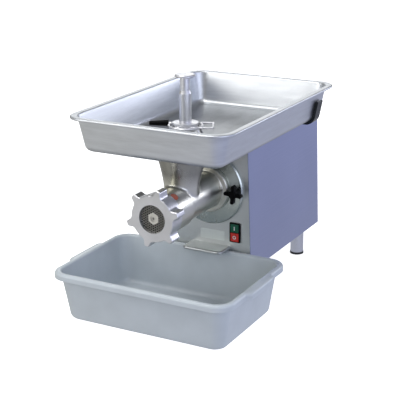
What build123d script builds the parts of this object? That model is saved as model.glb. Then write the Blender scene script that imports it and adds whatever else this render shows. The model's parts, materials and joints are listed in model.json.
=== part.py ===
from build123d import *
import math
import os

# Electric meat grinder, bench model, with feed pan, throat guard, pusher and catch tub.
# Millimetres. The origin is on the table under the middle of the machine and its tub.
# +Z is up and -Y is the front, where the meat comes out. The grinding head lies along Y.

# ---------------------------------------------------------------- driving dimensions

# Housing: a tapered sheet-metal box on four legs
AXIS_X = 22.0               # the head's axis, off the origin because the tub is wider to the left
HOUSE_FRONT, HOUSE_REAR = -51.0, 426.0
HOUSE_BASE, HOUSE_TOP = 86.0, 452.0
HOUSE_HALF_BASE, HOUSE_HALF_TOP = 128.5, 116.5
SHEET = 2.0
PANEL_FACE = HOUSE_FRONT + 1.5
PANEL_THICK = 3.0
PANEL_BACK = PANEL_FACE + PANEL_THICK
REAR_PANEL_Y = 405.0
BASE_THICK = 3.0
LEG_RADIUS, LEG_INSET_X, LEG_INSET_Y = 20.0, 39.0, 72.0
FOOT_HEIGHT = 7.0

# Grinding head
HEAD_Z = 312.0
BARREL_R, CHAMBER_R = 51.0, 43.5
DRUM_R, DRUM_BACK = 57.0, -238.0
THREAD_R, THREAD_BACK, HEAD_FRONT = 55.9, -313.0, -352.0
COLLAR_R, COLLAR_FRONT = 65.5, -73.0
DISC_R, DISC_THICK = 103.3, 8.0
DISC_FRONT = PANEL_FACE - DISC_THICK
SPIGOT_R = 52.0
THROAT_TOP = 466.7
THROAT_SECTIONS = ((350.0, 46.0, -207.0), (418.0, 60.0, -202.0), (459.0, 79.0, -190.0))  # z, r, y
THROAT_WALL = 6.0
FEED_Y = -182.0             # axis of the pan's hole, the guard and the pusher

# Ring nut, plate and knife
NUT_FRONT, NUT_DEPTH, NUT_LIP = -361.4, 48.0, 7.0
NUT_BODY_R, NUT_TIP_R, NUT_HOLE_R, NUT_LOBES = 61.5, 78.3, 37.8, 6
NUT_LOBE_R, NUT_LOBE_BASE, NUT_LOBE_TIP = 40.0, 36.0, 13.5     # lobe widths at this radius and at the tip
NUT_TURN = 14.0             # degrees from a lobe standing straight up
PLATE_R, PLATE_THICK = 49.2, 8.0
PLATE_FRONT = NUT_FRONT + NUT_LIP + 0.2
PLATE_HOLE_R, PLATE_PITCH, PLATE_RINGS = 2.75, 6.4, 7
PLATE_BLANK_RINGS = 2       # the plate's middle has no holes, which leaves a plain hexagon standing on a corner
STUD_R, STUD_RECESS, STUD_CENTRE_R = 6.0, 8.0, 3.2
AUGER_R, AUGER_CORE_R, AUGER_PITCH = 42.3, 18.0, 46.0

# Clamp knobs and their studs
KNOB_OFFSET, KNOB_TIP_R, KNOB_CORE_R, KNOB_LOBES = 89.0, 26.5, 12.0, 4
KNOB_FRONT, KNOB_THICK, KNOB_LOBE_WIDTH = -91.0, 13.0, 10.5
KNOB_TURN = -4.0            # degrees from one lobe pointing sideways
STUD_CLAMP_R, STUD_NUT_R = 5.0, 9.0

# Feed pan (18 by 28 inch size) and its cradle
PAN_HALF_X, PAN_HALF_Y, PAN_Y = 234.0, 350.5, -56.0
PAN_FLOOR, PAN_RIM = 467.0, 562.0
PAN_LEAN, PAN_CORNER, PAN_EDGE = 19.0, 26.0, 20.0
PAN_SHEET, PAN_BEAD, PAN_FLANGE, PAN_RIM_CORNER = 1.5, 3.5, 10.0, 56.0
PAN_HOLE_R, PAN_COLLAR_DROP = 58.5, 12.0
CRADLE_Y, CRADLE_DEPTH, CRADLE_THICK, CRADLE_TOP = 200.0, 34.0, 9.0, 526.0
CRADLE_BLOCK_X = 95.0       # half length of the block between the strap and the housing

# Throat guard and pusher
GUARD_R, GUARD_ROD, GUARD_TOP = 44.0, 3.5, 519.0
GUARD_BASE_R, GUARD_FOOT_R, GUARD_DROP_R, GUARD_BORE_R = 78.0, 66.0, 58.2, 55.0
GUARD_BAR_OFFSET, GUARD_BAR_R, GUARD_BAR_END, GUARD_TURN = 28.0, 3.0, 72.0, 26.6
GRIP_START, GRIP_END = 46.0, 97.0
PUSHER_TOP, PUSHER_DISC_R, PUSHER_FLANGE_R = 652.0, 27.0, 34.0
PUSHER_SHAFT_R, PUSHER_NECK_R, PLUNGER_R, PLUNGER_BOTTOM = 16.0, 12.5, 23.5, 388.0

# Catch tub (21 by 15 inch size)
TUB_HALF_X, TUB_HALF_Y, TUB_HEIGHT, TUB_Y = 266.5, 185.0, 140.0, -240.4
TUB_OVERHANG, TUB_LEAN, TUB_EDGE, TUB_WALL = 16.0, 20.0, 16.0, 3.2
TUB_RIM_CORNER, TUB_FLOOR_CORNER = 48.0, 26.0
TUB_RIM_DEPTH = 22.0
TUB_GRIP_LENGTH, TUB_GRIP_REACH = 150.0, 12.0

# Lip over the tub, switch and label on the front panel
LIP_X0, LIP_X1, LIP_Z, LIP_REACH = -37.0, 85.0, 149.0, 58.0
LIP_SHEET, LIP_EDGE, LIP_BEND, LIP_CORNER, LIP_FLANGE = 2.0, 8.0, 5.0, 13.0, 32.0
SWITCH_X, SWITCH_Z, SWITCH_W, SWITCH_H = 100.5, 191.5, 33.0, 57.0
BUTTON_SIZE, BUTTON_TRAVEL = 24.0, 4.0
LABEL_X, LABEL_Z, LABEL_W, LABEL_H = 29.5, 175.5, 75.0, 27.0

# Gear train: motor pinion to idler gear, idler pinion to output gear
PRESSURE_ANGLE = math.radians(20)
OUT_TEETH, IDLER_PINION_TEETH, SLOW_MODULE = 50, 18, 2.5
IDLER_TEETH, MOTOR_TEETH, FAST_MODULE = 54, 18, 2.0
BACKLASH = 0.24
SLOW_CENTRES = SLOW_MODULE * (OUT_TEETH + IDLER_PINION_TEETH) / 2
FAST_CENTRES = FAST_MODULE * (IDLER_TEETH + MOTOR_TEETH) / 2
IDLER_OFFSET = 50.0         # the idler stands this far to the left of the other two shafts
IDLER_X = AXIS_X - IDLER_OFFSET
IDLER_Z = HEAD_Z - math.sqrt(SLOW_CENTRES**2 - IDLER_OFFSET**2)
MOTOR_X = AXIS_X
MOTOR_Z = IDLER_Z - math.sqrt(FAST_CENTRES**2 - IDLER_OFFSET**2)
SLOW_GEAR_Y, FAST_GEAR_Y = (-18.0, 12.0), (28.0, 46.0)

# Gearbox and motor, along Y behind the front panel
CASE_FRONT, CASE_WALL_BACK, COVER_FRONT, COVER_BACK = PANEL_BACK, -34.0, 50.0, 62.0
CASE_WALL, TOOTH_ROOM = 8.0, 4.0
MOTOR_R, MOTOR_BACK, BELL_BACK, COWL_BACK = 88.0, 270.0, 282.0, 322.0
STATOR_Y, STATOR_R, STATOR_BORE, AIR_GAP = (95.0, 225.0), 80.0, 45.0, 0.7

FIT = 0.05                  # radial clearance of a running fit
GAP = 0.1                   # clearance between separate pieces that only sit together

os.makedirs("parts", exist_ok=True)


# ---------------------------------------------------------------- helpers

def save(name, shape):
    shape.label = name
    export_step(shape, f"parts/{name}.step")


def block(x0, x1, y0, y1, z0, z1):
    return Pos((x0 + x1) / 2, (y0 + y1) / 2, (z0 + z1) / 2) * Box(x1 - x0, y1 - y0, z1 - z0)


def post(r, z0, z1, x, y):
    """Upright cylinder from z0 to z1."""
    return Pos(x, y, (z0 + z1) / 2) * Cylinder(r, z1 - z0)


def bar(r, y0, y1, x=AXIS_X, z=HEAD_Z):
    """Cylinder along Y, on the head's axis unless told otherwise."""
    return Pos(x, (y0 + y1) / 2, z) * Rot(90, 0, 0) * Cylinder(r, y1 - y0)


def tube(r_out, r_in, y0, y1, x=AXIS_X, z=HEAD_Z):
    return bar(r_out, y0, y1, x, z) - bar(r_in, y0 - 1, y1 + 1, x, z)


def prism(sketch, y0, y1):
    """Extrude a sketch drawn in (x, z) from y0 back to y1."""
    return extrude(Plane((0, y1, 0), x_dir=(1, 0, 0), z_dir=(0, -1, 0)) * sketch, amount=y1 - y0)


def rod(r, start, end):
    """Round rod between two points."""
    line = Line(start, end)
    return extrude(Plane(line @ 0, z_dir=line % 0) * Circle(r), amount=line.length)


def around(count, x, z):
    """Locations about an axis along Y, each turned so that its own +Z points outward."""
    return [Pos(x, 0, z) * Rot(0, 360 * i / count, 0) for i in range(count)]


def ends(shape, axis, last=True):
    return shape.edges().group_by(axis)[-1 if last else 0]


# ---------------------------------------------------------------- housing

def half_width(z):
    share = (z - HOUSE_BASE) / (HOUSE_TOP - HOUSE_BASE)
    return HOUSE_HALF_BASE + share * (HOUSE_HALF_TOP - HOUSE_HALF_BASE)


def housing_outline(inset, bottom, top):
    low, high = half_width(bottom) - inset, half_width(top) - inset
    corners = ((AXIS_X - low, bottom), (AXIS_X + low, bottom), (AXIS_X + high, top), (AXIS_X - high, top))
    return make_face(Polyline(*corners, close=True))


def housing_shell():
    """Both sides and the top, bent from one sheet and open below."""
    outer = prism(housing_outline(0, HOUSE_BASE, HOUSE_TOP), HOUSE_FRONT, HOUSE_REAR)
    inner = prism(housing_outline(SHEET, HOUSE_BASE - 1, HOUSE_TOP - SHEET), HOUSE_FRONT - 1, HOUSE_REAR + 1)
    return outer - inner


def panel(y, bottom):
    return prism(housing_outline(SHEET + GAP, bottom, HOUSE_TOP - SHEET - GAP), y, y + PANEL_THICK)


def clamp_stud_points():
    return [AXIS_X - KNOB_OFFSET, AXIS_X + KNOB_OFFSET]


def front_panel():
    plate = panel(PANEL_FACE, HOUSE_BASE)
    plate -= bar(SPIGOT_R + GAP, PANEL_FACE - 1, PANEL_BACK + 1)
    for x in clamp_stud_points():
        plate -= bar(STUD_CLAMP_R + GAP, PANEL_FACE - 1, PANEL_BACK + 1, x)
    half_w, half_h = SWITCH_W / 2 - 2, SWITCH_H / 2 - 2
    plate -= block(SWITCH_X - half_w, SWITCH_X + half_w, PANEL_FACE - 1, PANEL_BACK + 1,
                   SWITCH_Z - half_h, SWITCH_Z + half_h)
    return plate


GLAND_X, GLAND_Z, GLAND_R = 80.0, 130.0, 9.0
CAPACITOR_X, CAPACITOR_Z, CAPACITOR_R = -35.0, 345.0, 22.0
TERMINAL_X, TERMINAL_Z = 75.0, 345.0


def rear_panel():
    """Back wall with a field of vent slots behind the motor's fan."""
    plate = panel(REAR_PANEL_Y, HOUSE_BASE)
    slot = SlotOverall(56, 5)
    for row in range(7):
        for column in (-1, 0, 1):
            place = Pos(MOTOR_X + 62 * column, MOTOR_Z + 16 * (row - 2)) * slot
            if row > 0 or column < 1:
                plate -= prism(place, REAR_PANEL_Y - 1, REAR_PANEL_Y + PANEL_THICK + 1)
    plate -= bar(GLAND_R + GAP, REAR_PANEL_Y - 1, REAR_PANEL_Y + PANEL_THICK + 1, GLAND_X, GLAND_Z)
    return plate


def leg_points():
    x = HOUSE_HALF_BASE - LEG_INSET_X
    rows = (HOUSE_FRONT + LEG_INSET_Y, HOUSE_REAR - LEG_INSET_Y)
    return [(AXIS_X + sx * x, y) for sx in (-1, 1) for y in rows]


def base_plate():
    """Floor of the housing, with intake slots under the motor."""
    w = half_width(HOUSE_BASE) - SHEET - GAP
    plate = block(AXIS_X - w, AXIS_X + w, PANEL_BACK + GAP, REAR_PANEL_Y - GAP,
                  HOUSE_BASE, HOUSE_BASE + BASE_THICK)
    for i in range(9):
        slot = Pos(AXIS_X, 232 + 14 * i, HOUSE_BASE + BASE_THICK / 2) * SlotOverall(90, 5)
        plate -= extrude(slot, amount=BASE_THICK, both=True)
    return plate


def legs():
    """Four steel tubes, closed at the top by a plug that the leg bolt screws into."""
    group = []
    for x, y in leg_points():
        leg = post(LEG_RADIUS, 5, HOUSE_BASE, x, y) - post(LEG_RADIUS - 2.5, 4, HOUSE_BASE - 12, x, y)
        group.append(leg)
    return Compound(children=group)


def feet():
    """Rubber cups that the leg tubes stand in, with a rounded lower edge."""
    group = []
    for x, y in leg_points():
        cup = post(LEG_RADIUS + 1.2, 0, FOOT_HEIGHT, x, y)
        cup = fillet(cup.faces().sort_by(Axis.Z)[0].edges(), 2)
        cup -= post(LEG_RADIUS + FIT, 5, FOOT_HEIGHT + 1, x, y)
        group.append(cup + post(LEG_RADIUS - 2.5 - FIT, 4, 10, x, y))
    return Compound(children=group)


def lip_pressing(inset):
    """Block with rounded front corners and rounded upper edges, shrunk by the inset."""
    front, below = PANEL_FACE - LIP_REACH + inset, LIP_Z - LIP_EDGE - inset / 2
    solid = block(LIP_X0 + inset, LIP_X1 - inset, front, PANEL_FACE + 2 * LIP_BEND, below, LIP_Z - inset)
    solid = fillet(solid.edges().filter_by(Axis.Z).group_by(Axis.Y)[0], LIP_CORNER - inset)
    return fillet(ends(solid, Axis.Z), LIP_BEND - inset)


def tub_lip():
    """Pressed sheet on the front panel that reaches over the tub's back rim, its edges turned down."""
    shelf = lip_pressing(0) - lip_pressing(LIP_SHEET)
    flange = block(LIP_X0, LIP_X1, PANEL_FACE - LIP_SHEET, PANEL_FACE,
                   LIP_Z - LIP_FLANGE, LIP_Z - LIP_SHEET / 2)
    behind = block(LIP_X0 - 9, LIP_X1 + 9, PANEL_FACE, PANEL_FACE + 50, LIP_Z - 50, LIP_Z + 9)
    return shelf + flange - behind


def label_plate():
    plate = block(LABEL_X - LABEL_W / 2, LABEL_X + LABEL_W / 2, PANEL_FACE - 1, PANEL_FACE,
                  LABEL_Z - LABEL_H / 2, LABEL_Z + LABEL_H / 2)
    plate = fillet(plate.edges().filter_by(Axis.Y), 2)
    for sx in (-1, 1):
        rivet = Pos(LABEL_X + sx * (LABEL_W / 2 - 4), PANEL_FACE - 1, LABEL_Z) * Sphere(1.4)
        plate += rivet
    return plate - block(LABEL_X - 50, LABEL_X + 50, PANEL_FACE, PANEL_FACE + 5, LABEL_Z - 20, LABEL_Z + 20)


# ---------------------------------------------------------------- switch

def button_z(sign):
    return SWITCH_Z + sign * 13.1


def square(cx, cz, size, radius):
    return Pos(cx, cz) * RectangleRounded(size, size, radius)


def switch_frame():
    """Bezel with one window for each button; it clips through the front panel."""
    bezel = prism(Pos(SWITCH_X, SWITCH_Z) * RectangleRounded(SWITCH_W, SWITCH_H, 3), PANEL_FACE - 4, PANEL_FACE)
    bezel = fillet(bezel.faces().sort_by(Axis.Y)[0].edges(), 1.2)
    neck = Pos(SWITCH_X, SWITCH_Z) * Rectangle(SWITCH_W - 4 - 2 * GAP, SWITCH_H - 4 - 2 * GAP)
    bezel += prism(neck, PANEL_FACE, PANEL_BACK)
    for sign in (-1, 1):
        window = square(SWITCH_X, button_z(sign), BUTTON_SIZE + 0.8, 1.4)
        bezel -= prism(window, PANEL_FACE - 9, PANEL_BACK + 1)
    return bezel


def switch_body():
    """Contact block behind the panel; its two wells take the buttons' travel."""
    body = block(SWITCH_X - 14, SWITCH_X + 14, PANEL_BACK, -8, SWITCH_Z - 26, SWITCH_Z + 26)
    for sign in (-1, 1):
        well = square(SWITCH_X, button_z(sign), BUTTON_SIZE + 0.8, 1.4)
        body -= prism(well, PANEL_BACK - 1, PANEL_BACK + 12)
    for i in range(4):
        x = SWITCH_X - 9 + 6 * i
        body += block(x - 1.5, x + 1.5, -8, -2, SWITCH_Z - 20, SWITCH_Z + 20)
    return body


def button(sign, mark):
    """Square push button with its raised mark; it stands proud of the bezel."""
    face = PANEL_FACE - 5.6
    cap = prism(square(SWITCH_X, button_z(sign), BUTTON_SIZE, 1.2), face, PANEL_BACK + 2)
    cap = fillet(cap.faces().sort_by(Axis.Y)[0].edges(), 0.8)
    return cap + prism(Pos(SWITCH_X, button_z(sign)) * mark, face - 0.5, face + 0.5)


# ---------------------------------------------------------------- electrical pieces

def terminal_block():
    body = block(TERMINAL_X - 30, TERMINAL_X + 30, REAR_PANEL_Y - 18, REAR_PANEL_Y,
                 TERMINAL_Z - 11, TERMINAL_Z + 11)
    for i in range(5):
        x = TERMINAL_X - 24 + 12 * i
        body -= bar(3, REAR_PANEL_Y - 19, REAR_PANEL_Y - 12, x, TERMINAL_Z)
    return body


def run_capacitor():
    can = bar(CAPACITOR_R, 328, REAR_PANEL_Y - 4, CAPACITOR_X, CAPACITOR_Z)
    can = fillet(can.edges(), 2)
    return can + bar(9, REAR_PANEL_Y - 5, REAR_PANEL_Y, CAPACITOR_X, CAPACITOR_Z)


def cable_gland():
    """Inlet for the mains lead: lock nut inside, dome nut outside, open through the middle."""
    outside = REAR_PANEL_Y + PANEL_THICK
    hexagon = Pos(GLAND_X, GLAND_Z) * RegularPolygon(13, 6)
    gland = bar(GLAND_R, REAR_PANEL_Y - 8, outside + 10, GLAND_X, GLAND_Z)
    gland += prism(hexagon, REAR_PANEL_Y - 6, REAR_PANEL_Y) + prism(hexagon, outside, outside + 7)
    dome = bar(11, outside + 7, outside + 17, GLAND_X, GLAND_Z)
    gland += fillet(ends(dome, Axis.Y), 4)
    return gland - bar(5, REAR_PANEL_Y - 20, outside + 30, GLAND_X, GLAND_Z)


# ---------------------------------------------------------------- gears

def involute(angle):
    return math.tan(angle) - angle


def gear_outline(teeth, module, phase):
    """Closed (x, z) outline about (0, 0), with one tooth centred at the phase angle."""
    pitch_r = module * teeth / 2
    base_r, tip_r, root_r = pitch_r * math.cos(PRESSURE_ANGLE), pitch_r + module, pitch_r - 1.25 * module
    half_pitch = math.pi / (2 * teeth) - BACKLASH / 4 / pitch_r

    def half_angle(r):
        return half_pitch + involute(PRESSURE_ANGLE) - involute(math.acos(min(1.0, base_r / r)))

    low = max(base_r, root_r)
    radii = [root_r] if root_r < low else []
    radii += [low, (low + pitch_r) / 2, pitch_r, (pitch_r + tip_r) / 2, tip_r]
    points = []
    for i in range(teeth):
        centre = phase + 2 * math.pi * i / teeth
        flank = [(r, half_angle(max(r, low))) for r in radii]
        for r, a in flank:
            points.append((r * math.cos(centre - a), r * math.sin(centre - a)))
        for r, a in reversed(flank):
            points.append((r * math.cos(centre + a), r * math.sin(centre + a)))
    return make_face(Polyline(*points, close=True))


def gear(teeth, module, phase, bore, x, z, span):
    outline = Pos(x, z) * gear_outline(teeth, module, phase)
    return prism(outline, *span) - bar(bore, span[0] - 1, span[1] + 1, x, z)


# Directions from one shaft to the next, so that every pair is in mesh as drawn
OUT_TO_IDLER = math.atan2(IDLER_Z - HEAD_Z, IDLER_X - AXIS_X)
IDLER_TO_MOTOR = math.atan2(MOTOR_Z - IDLER_Z, MOTOR_X - IDLER_X)


def meshing_phase(direction, teeth):
    """Phase of the second gear of a pair: a gap, not a tooth, faces back along the direction."""
    return direction + math.pi + math.pi / teeth


def output_gear():
    wheel = gear(OUT_TEETH, SLOW_MODULE, OUT_TO_IDLER, 22 + GAP, AXIS_X, HEAD_Z, SLOW_GEAR_Y)
    front, back = SLOW_GEAR_Y
    return wheel - tube(52, 34, front - 1, front + 8) - tube(52, 34, back - 8, back + 1)


def idler_gear():
    wheel = gear(IDLER_TEETH, FAST_MODULE, IDLER_TO_MOTOR, 12 + GAP, IDLER_X, IDLER_Z, FAST_GEAR_Y)
    for turn in around(6, IDLER_X, IDLER_Z):
        wheel -= turn * Pos(0, sum(FAST_GEAR_Y) / 2, 32) * Rot(90, 0, 0) * Cylinder(9, 40)
    return wheel


def idler_pinion():
    span = (SLOW_GEAR_Y[0] - 2, SLOW_GEAR_Y[1] + 2)
    phase = meshing_phase(OUT_TO_IDLER, IDLER_PINION_TEETH)
    return gear(IDLER_PINION_TEETH, SLOW_MODULE, phase, 12 + GAP, IDLER_X, IDLER_Z, span)


def motor_pinion():
    span = (FAST_GEAR_Y[0] - 2, FAST_GEAR_Y[1] + 2)
    phase = meshing_phase(IDLER_TO_MOTOR, MOTOR_TEETH)
    return gear(MOTOR_TEETH, FAST_MODULE, phase, 9 + GAP, MOTOR_X, MOTOR_Z, span)


# ---------------------------------------------------------------- gearbox

# Each bearing: x, z, front y, back y, bore radius, outer radius
OUTPUT_BEARINGS = ((AXIS_X, HEAD_Z, -38.0, -20.0, 25.0, 40.0), (AXIS_X, HEAD_Z, 50.0, 62.0, 12.5, 26.0))
IDLER_BEARINGS = ((IDLER_X, IDLER_Z, -40.0, -28.0, 8.5, 20.0), (IDLER_X, IDLER_Z, 50.0, 62.0, 8.5, 20.0))
MOTOR_BEARINGS = ((MOTOR_X, MOTOR_Z, 50.0, 62.0, 12.5, 26.0), (MOTOR_X, MOTOR_Z, 270.0, 282.0, 10.0, 23.0))


def bearing(x, z, y0, y1, r_in, r_out):
    """Sealed ball bearing: the shallow groove in each face is the seal between its two races."""
    ring = tube(r_out, r_in + FIT, y0, y1, x, z)
    mid, room = (r_in + r_out) / 2, (r_out - r_in) / 5
    for start in (y0 - 1, y1 - 1):
        ring -= tube(mid + room, mid - room, start, start + 2, x, z)
    return ring


def bearing_pair(seats):
    return Compound(children=[bearing(*seat) for seat in seats])


def seat_hole(seat):
    x, z, y0, y1, _, r_out = seat
    return bar(r_out + GAP, y0 - 0.01, y1 + 0.01, x, z)


def case_outline(room):
    """Outline round the three gear centres: the convex wrap of one circle for each."""
    edges = []
    for x, z, r in (
        (AXIS_X, HEAD_Z, SLOW_MODULE * (OUT_TEETH / 2 + 1)),
        (IDLER_X, IDLER_Z, FAST_MODULE * (IDLER_TEETH / 2 + 1)),
        (MOTOR_X, MOTOR_Z, FAST_MODULE * (MOTOR_TEETH / 2 + 1)),
    ):
        edges += (Pos(x, z) * Circle(r + room)).edges()
    return make_hull(edges)


def gearbox_case():
    """Cast box behind the front panel, open at the back, with bosses for the front bearings."""
    case = prism(case_outline(TOOTH_ROOM + CASE_WALL), CASE_FRONT, COVER_FRONT)
    case -= prism(case_outline(TOOTH_ROOM), CASE_WALL_BACK, COVER_FRONT + 1)
    case += bar(48, CASE_WALL_BACK - 1, -21) + bar(26, CASE_WALL_BACK - 1, -27, IDLER_X, IDLER_Z)
    case -= seat_hole(OUTPUT_BEARINGS[0]) + bar(40 + GAP, CASE_FRONT - 1, -20)
    for stud_x in clamp_stud_points():
        case -= bar(STUD_NUT_R + 1, CASE_FRONT - 1, CASE_FRONT + 8.5, stud_x)
    x, z, y0, _, _, r_out = IDLER_BEARINGS[0]
    return case - bar(r_out + GAP, y0, 0, x, z)


def gearbox_cover():
    """Back wall of the gearbox, which is also the motor's front end bell."""
    cover = prism(case_outline(TOOTH_ROOM + CASE_WALL), COVER_FRONT + GAP, COVER_BACK)
    cover += bar(MOTOR_R, COVER_FRONT + GAP, COVER_BACK, MOTOR_X, MOTOR_Z)
    for seat in (OUTPUT_BEARINGS[1], IDLER_BEARINGS[1], MOTOR_BEARINGS[0]):
        cover -= seat_hole(seat)
    return cover


def gearbox_bolts():
    """Hexagon heads round the cover's edge."""
    group = []
    room = TOOTH_ROOM + CASE_WALL / 2
    top_r = SLOW_MODULE * (OUT_TEETH / 2 + 1) + room
    side_r = FAST_MODULE * (IDLER_TEETH / 2 + 1) + room
    spots = [(AXIS_X, HEAD_Z, top_r, a) for a in (-10, 35, 80, 125)]
    spots += [(IDLER_X, IDLER_Z, side_r, a) for a in (165, 205)]
    for x, z, r, angle in spots:
        turn = math.radians(angle)
        head = Pos(x + r * math.cos(turn), z + r * math.sin(turn)) * RegularPolygon(5, 6)
        group.append(prism(head, COVER_BACK, COVER_BACK + 5))
    return Compound(children=group)


def output_seal():
    lip = tube(40, 30 + FIT, CASE_FRONT + 0.5, -38 - GAP)
    return lip - tube(37, 33, CASE_FRONT, CASE_FRONT + 2.5)


def gearbox_foot():
    """Stand between the base plate and the underside of the gearbox."""
    stand = block(MOTOR_X - 42, MOTOR_X + 42, CASE_FRONT + 6, COVER_FRONT - 2,
                  HOUSE_BASE + BASE_THICK, MOTOR_Z - 8)
    return stand - prism(case_outline(TOOTH_ROOM + CASE_WALL + GAP), CASE_FRONT, COVER_FRONT)


# ---------------------------------------------------------------- shafts

def shaft(steps, x, z):
    """Stepped shaft along Y from (radius, front y, back y) steps."""
    solid = bar(*steps[0], x, z)
    for step in steps[1:]:
        solid += bar(*step, x, z)
    return solid


TANG = 22.0                 # side of the square drive between auger and output shaft


def output_shaft():
    """Slow shaft; the square socket in its front end drives the auger."""
    steps = ((30, -64, -38), (25, -38, -20), (22, -20, 14), (15, 14, 50), (12.5, 50, 61))
    solid = shaft(steps, AXIS_X, HEAD_Z)
    socket = Pos(AXIS_X, HEAD_Z) * Rectangle(TANG + 2 * GAP, TANG + 2 * GAP)
    return solid - prism(socket, -65, -36)


def idler_shaft():
    return shaft(((8.5, -39.5, -28), (12, -28, 50), (8.5, 50, 61)), IDLER_X, IDLER_Z)


def motor_shaft():
    steps = ((9, 25, 50), (12.5, 50, 62), (15, 62, 269.5), (10, 269.5, 308))
    return shaft(steps, MOTOR_X, MOTOR_Z)


# ---------------------------------------------------------------- motor

def motor_frame():
    """Finned tube of the motor."""
    frame = tube(MOTOR_R, STATOR_R + GAP, COVER_BACK, MOTOR_BACK, MOTOR_X, MOTOR_Z)
    for turn in around(36, MOTOR_X, MOTOR_Z):
        frame -= turn * Pos(0, (COVER_BACK + MOTOR_BACK) / 2, MOTOR_R) * Box(4, MOTOR_BACK - COVER_BACK - 30, 8)
    return frame


def stator_core():
    core = tube(STATOR_R, STATOR_BORE, *STATOR_Y, MOTOR_X, MOTOR_Z)
    for turn in around(24, MOTOR_X, MOTOR_Z):
        core -= turn * Pos(0, sum(STATOR_Y) / 2, STATOR_BORE + 9) * Box(4, STATOR_Y[1] - STATOR_Y[0] + 2, 14)
    return core


def stator_windings():
    """The coil ends that stand out of both faces of the stator."""
    front = tube(76, 50, 68, STATOR_Y[0] - GAP, MOTOR_X, MOTOR_Z)
    back = tube(76, 50, STATOR_Y[1] + GAP, 252, MOTOR_X, MOTOR_Z)
    group = [fillet(coil.edges(), 7) for coil in (front, back)]
    return Compound(children=group)


def rotor_core():
    return tube(STATOR_BORE - AIR_GAP, 15 + FIT, *STATOR_Y, MOTOR_X, MOTOR_Z)


def motor_end_bell():
    bell = bar(MOTOR_R, MOTOR_BACK + GAP, BELL_BACK, MOTOR_X, MOTOR_Z)
    bell -= seat_hole(MOTOR_BEARINGS[1])
    for turn in around(8, MOTOR_X, MOTOR_Z):
        bell -= turn * Pos(0, MOTOR_BACK + 6, 62) * Rot(90, 0, 0) * Cylinder(9, 20)
    return bell


def cooling_fan():
    fan = bar(22, 286, 306, MOTOR_X, MOTOR_Z)
    for turn in around(9, MOTOR_X, MOTOR_Z):
        fan += turn * Pos(0, 295, 48) * Box(2, 16, 60)
    return fan - bar(10 + GAP, 280, 310, MOTOR_X, MOTOR_Z)


def fan_cowl():
    """Sheet cap over the fan, with an air grille in its end."""
    cowl = bar(MOTOR_R, BELL_BACK + GAP, COWL_BACK, MOTOR_X, MOTOR_Z)
    cowl = fillet(ends(cowl, Axis.Y), 8)
    hollow = bar(MOTOR_R - 2, BELL_BACK - 1, COWL_BACK - 2, MOTOR_X, MOTOR_Z)
    cowl -= fillet(ends(hollow, Axis.Y), 6)
    for i, radius in enumerate((24, 44, 64)):
        for turn in around(8 * (i + 1), MOTOR_X, MOTOR_Z):
            cowl -= turn * Pos(0, COWL_BACK, radius) * Rot(90, 0, 0) * Cylinder(4, 20)
    return cowl


def motor_foot():
    """Saddle under the motor."""
    saddle = block(MOTOR_X - 62, MOTOR_X + 62, 120, 220, HOUSE_BASE + BASE_THICK, MOTOR_Z - 40)
    return saddle - bar(MOTOR_R + GAP, 119, 221, MOTOR_X, MOTOR_Z)


# ---------------------------------------------------------------- grinding head

def throat_loft(shrink, bottom, top):
    """Leaning funnel through the throat's sections, carried straight up to its mouth."""
    sections = [Pos(AXIS_X, THROAT_SECTIONS[0][2] - 1, bottom) * Circle(THROAT_SECTIONS[0][1] - shrink - 1)]
    sections += [Pos(AXIS_X, y, z) * Circle(r - shrink) for z, r, y in THROAT_SECTIONS]
    mouth_z, mouth_r, mouth_y = THROAT_SECTIONS[-1]
    return loft(sections) + post(mouth_r - shrink, mouth_z - 0.5, top, AXIS_X, mouth_y)


def head_casting():
    """One casting: threaded drum, barrel, feed throat, back collar and the spigot behind it."""
    drum = bar(DRUM_R, THREAD_BACK, DRUM_BACK)
    drum = fillet(ends(drum, Axis.Y), 5)
    collar = bar(COLLAR_R, COLLAR_FRONT, DISC_FRONT - GAP)
    collar = fillet(ends(collar, Axis.Y, last=False), 4)
    solid = drum + collar
    solid += bar(BARREL_R, DRUM_BACK - 20, COLLAR_FRONT + 2) + bar(SPIGOT_R, COLLAR_FRONT, PANEL_BACK - 0.2)
    solid += bar(THREAD_R, HEAD_FRONT, THREAD_BACK + 1)
    solid += throat_loft(0, HEAD_Z, THROAT_TOP)
    solid -= bar(CHAMBER_R, HEAD_FRONT - 1, -105)
    solid -= bar(PLATE_R + 0.3, HEAD_FRONT - 1, PLATE_FRONT + PLATE_THICK + 16.5)
    solid -= throat_loft(THROAT_WALL, HEAD_Z, THROAT_TOP + 1)
    solid -= bar(20 + FIT, -106, -60) + bar(34, -77, -30)
    return solid - throat_plug_hole(PLUG_R + GAP)


PLUG_Y, PLUG_TILT, PLUG_R = -299.0, 33.0, 10.5


def throat_plug_hole(r):
    """Cylinder that stands radially in the drum's upper right side."""
    return Pos(AXIS_X, PLUG_Y, HEAD_Z) * Rot(0, PLUG_TILT, 0) * Pos(0, 0, DRUM_R) * Cylinder(r, 16)


def throat_plug():
    """Slightly domed plug in the drum."""
    plug = throat_plug_hole(PLUG_R) & bar(DRUM_R + 0.8, PLUG_Y - 12, PLUG_Y + 12)
    return plug - bar(DRUM_R - 6, PLUG_Y - 14, PLUG_Y + 14)


def clamp_disc():
    """Polished disc that the two knobs press against the housing."""
    disc = bar(DISC_R, DISC_FRONT, PANEL_FACE)
    disc = chamfer(ends(disc, Axis.Y, last=False), 3)
    disc -= bar(SPIGOT_R + GAP, DISC_FRONT - 1, PANEL_FACE + 1)
    for x in clamp_stud_points():
        disc -= bar(STUD_CLAMP_R + GAP, DISC_FRONT - 1, PANEL_FACE + 1, x)
    return disc


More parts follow.
